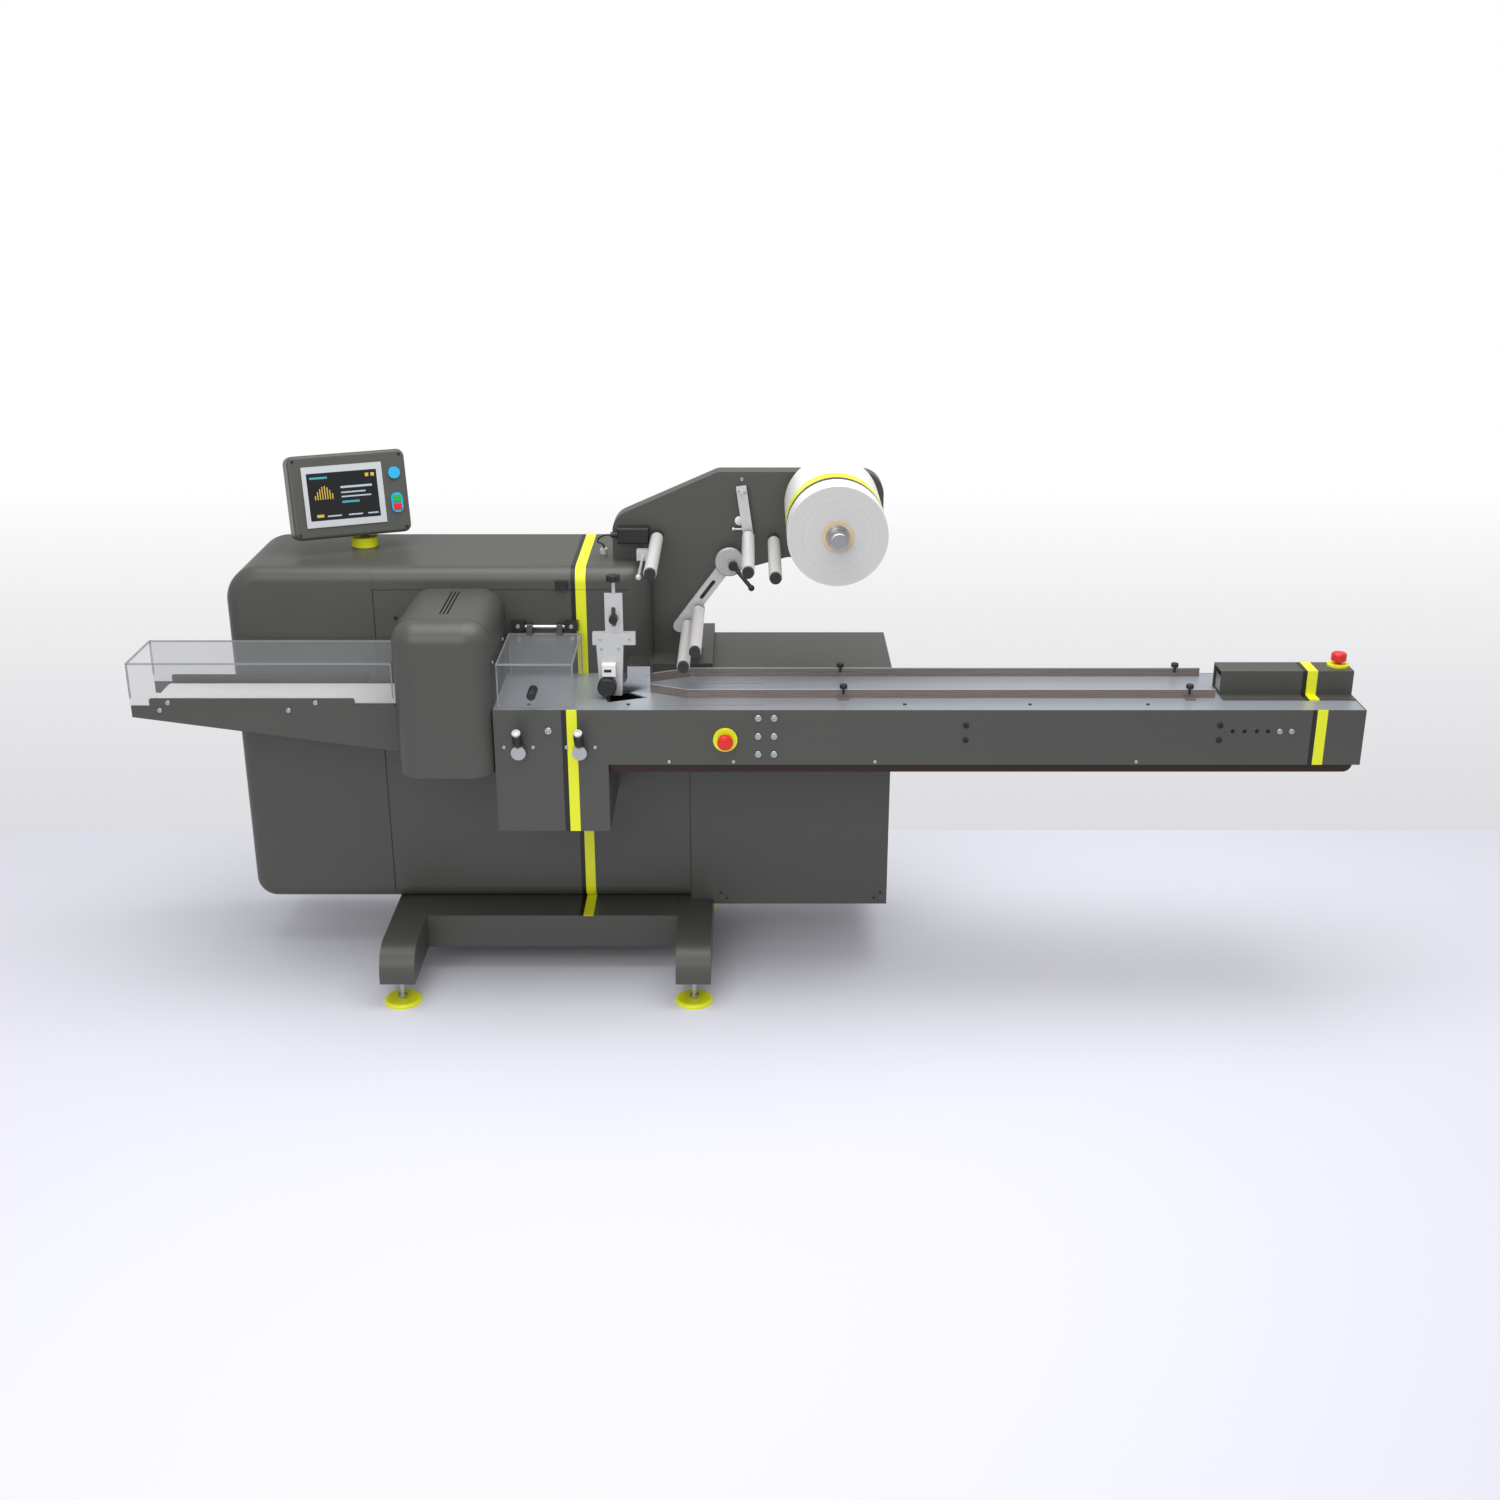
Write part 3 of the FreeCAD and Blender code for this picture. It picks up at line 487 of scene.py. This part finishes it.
panelPiece("screenPane", "screenGlass", [panel["screen"]], 2.6, 0.9)
dial = [(-100 + 7 * i, -97 + 7 * i, -8, -8 + h) for i, h in enumerate((12, 22, 30, 36, 38, 34, 26, 16))]
panelPiece("screenBars", "screenAmber",
           dial + [(-100, -80, -58, -50), (48, 58, 48, 58), (64, 74, 48, 58)], 3.4, 0.3, 0)
panelPiece("screenLines", "screenText", [(-25, 65, 20, 26), (-25, 45, 6, 10), (-25, 60, -6, -2),
                                         (-70, -30, -58, -54),
                                         (-10, 30, -58, -54), (45, 75, -58, -54)], 3.4, 0.3, 0)
panelPiece("screenHeading", "screenTeal", [(-110, -60, 50, 56), (-25, 25, -22, -16)], 3.4, 0.3, 0)
mesh = bmesh.new()
for x, z in ((-152, 104), (152, 104), (-152, -104), (152, -104)):
    screwSpot = Vector((x, panel["face"], z)) / 1000
    addLathe(mesh, [(r * 0.5, h * 0.5) for r, h in socketHead], screwSpot, front, 16)
mesh.transform(panelTurn)
piece("panelScrews", mesh, "blackPlastic", "operator_panel")


def rocker(name, finish, z0, z1):
    mesh = bmesh.new()
    addBlock(mesh, (0.1205, -0.0475, z0 / 1000), (0.1435, -0.0445, z1 / 1000), 1.2)
    mesh.transform(panelTurn)
    piece(name, mesh, finish, "operator_panel")


rocker("rockerStart", "greenPlastic", -32, -12)
rocker("rockerStop", "redPlastic", -54, -35)
print("operator panel")


def pressButton(name, spot, axis, radius, body):
    # The mushroom's crown, a little proud of the solid one
    crown = [(radius - 3, 0), (radius + 0.3, 1.5), (radius + 0.4, 9), (radius - 1, 14), (radius - 5, 17.5),
             (radius - 11, 19), (0.1, 19.4)]
    turnedPiece(name, crown, at(*spot), axis, 40, "redPlastic", body)


pressButton("frontStopCrown", (-67, -215, 817), front, 21, "front_stop")

edgeLines = {"tunnel": ((-1699, -975), (-106, 106), (903, 1003)),
             "guard": ((-681, -474), (-183, 101), (903, 1026))}


def clearEdges(name, part, body, half=2.2):
    # The dark polished edges of a clear cover
    xs, ys, zs = edgeLines[part]
    mesh = bmesh.new()
    for y in (ys[0] + half, ys[1] - half):
        addBlock(mesh, at(xs[0], y - half, zs[1] - 2 * half), at(xs[1], y + half, zs[1]))
        for x in (xs[0] + half, xs[1] - half):
            addBlock(mesh, at(x - half, y - half, zs[0]), at(x + half, y + half, zs[1] - 2 * half))
    for x in (xs[0] + half, xs[1] - half):
        addBlock(mesh, at(x - half, ys[0] + 2 * half, zs[1] - 2 * half),
                 at(x + half, ys[1] - 2 * half, zs[1]))
    piece(name, mesh, "clearEdge", body, smooth=False)


clearEdges("tunnelEdges", "tunnel", "machine")
clearEdges("guardEdges", "guard", "clear_cover")
blockPiece("indicatorWindow", (-398, -96.9, 974), (-378, -95.8, 982), 0.3, "screenGlass")
smallTurned = {"disc": [(13, 0), (13, 2.5), (12, 3.2), (0.1, 3.4)],
               "pin": [(7, 0), (7, 3), (3, 3.5), (3, 24), (5.5, 25), (5.5, 31), (0.1, 31.5)]}
turnedPiece("plateDisc", smallTurned["disc"], at(-30, 227, 1318), front, 24, "whitePlastic")
turnedPiece("dancerPin", smallTurned["pin"], at(-19, 212, 1297), (-1, 0, 0), 20, "boltSteel", "dancer")
print("covers and buttons")

studio = {"floor": "dcdce6", "nearBack": "d9d9db", "haze": "dddde0", "farBack": "ffffff", "seam": 1070.0,
          "white": 6500.0, "reach": 30.0, "sky": 0.6}


def floorPaint():
    p = Paint("floorPaint")
    _, _, y, _ = p.place()
    depth = p.node("ShaderNodeMapRange", None, {0: y, 1: studio["seam"] - 5, 2: studio["seam"] + 5})
    rise = p.node("ShaderNodeMapRange", None, {0: y, 1: studio["seam"], 2: studio["white"]})
    behind = p.mix(rise, hexColour(studio["nearBack"]), hexColour(studio["farBack"]))
    p.finish(Base_Color=p.mix(depth, hexColour(studio["floor"]), behind), Roughness=0.75)
    # Seen directly or in a reflection, the far floor is a pale backdrop
    rays = p.tree.nodes.new("ShaderNodeLightPath")
    seen = Wire(p, rays.outputs["Is Camera Ray"]) + Wire(p, rays.outputs["Is Glossy Ray"])
    seen = seen + Wire(p, rays.outputs["Is Transmission Ray"])
    haze = p.mix(rise, hexColour(studio["haze"]), hexColour(studio["farBack"]))
    glow = p.node("ShaderNodeEmission", None, {"Color": haze})
    output = p.tree.nodes["Material Output"]
    mixed = p.node("ShaderNodeMixShader", None, {0: depth * seen, 1: Wire(p, p.shader.outputs[0]), 2: glow})
    p.feed(output.inputs["Surface"], mixed)
    return p.material


mesh = bmesh.new()
bmesh.ops.create_grid(mesh, x_segments=1, y_segments=1, size=studio["reach"])
data = bpy.data.meshes.new("floor")
mesh.to_mesh(data)
mesh.free()
data.materials.append(floorPaint())
floor = bpy.data.objects.new("floor", data)
bpy.context.scene.collection.objects.link(floor)

world = bpy.data.worlds.new("studio")
bpy.context.scene.world = world
world.use_nodes = True
sky = world.node_tree
sky.nodes["Background"].inputs["Color"].default_value = (1, 1, 1, 1)
sky.nodes["Background"].inputs["Strength"].default_value = studio["sky"]
rays = sky.nodes.new("ShaderNodeLightPath")
seen = sky.nodes.new("ShaderNodeMath")
seen.operation = "MAXIMUM"
sky.links.new(rays.outputs["Is Camera Ray"], seen.inputs[0])
sky.links.new(rays.outputs["Is Transmission Ray"], seen.inputs[1])
white = sky.nodes.new("ShaderNodeBackground")
white.inputs["Color"].default_value = (1, 1, 1, 1)
choice = sky.nodes.new("ShaderNodeMixShader")
sky.links.new(seen.outputs[0], choice.inputs[0])
sky.links.new(sky.nodes["Background"].outputs[0], choice.inputs[1])
sky.links.new(white.outputs[0], choice.inputs[2])
sky.links.new(choice.outputs[0], sky.nodes["World Output"].inputs["Surface"])


def softbox(name, spot, target, size, power):
    lamp = bpy.data.lights.new(name, "AREA")
    lamp.shape = "RECTANGLE"
    lamp.size, lamp.size_y = size
    lamp.energy = power
    made = bpy.data.objects.new(name, lamp)
    made.location = at(*spot)
    made.rotation_euler = (at(*target) - at(*spot)).to_track_quat("-Z", "Y").to_euler()
    bpy.context.scene.collection.objects.link(made)


softbox("overhead", (200, -400, 4200), (0, 200, 700), (4.5, 3.0), 150)
softbox("fromFront", (-1500, -4200, 3000), (0, 0, 800), (3.0, 2.0), 60)
print("studio")

view = {"spot": (0, -4708, 2507), "pitch": 21.3, "lens": 42.72, "shift": 0.0087}
cameraData = bpy.data.cameras.new("camera")
cameraData.lens = view["lens"]
cameraData.sensor_width = 36
cameraData.shift_y = view["shift"]
cameraData.clip_end = 200
camera = bpy.data.objects.new("camera", cameraData)
camera.location = at(*view["spot"])
camera.rotation_euler = (math.radians(90 - view["pitch"]), 0, 0)
bpy.context.scene.collection.objects.link(camera)
bpy.context.scene.camera = camera
bpy.context.scene.view_settings.view_transform = "Standard"
print("camera")
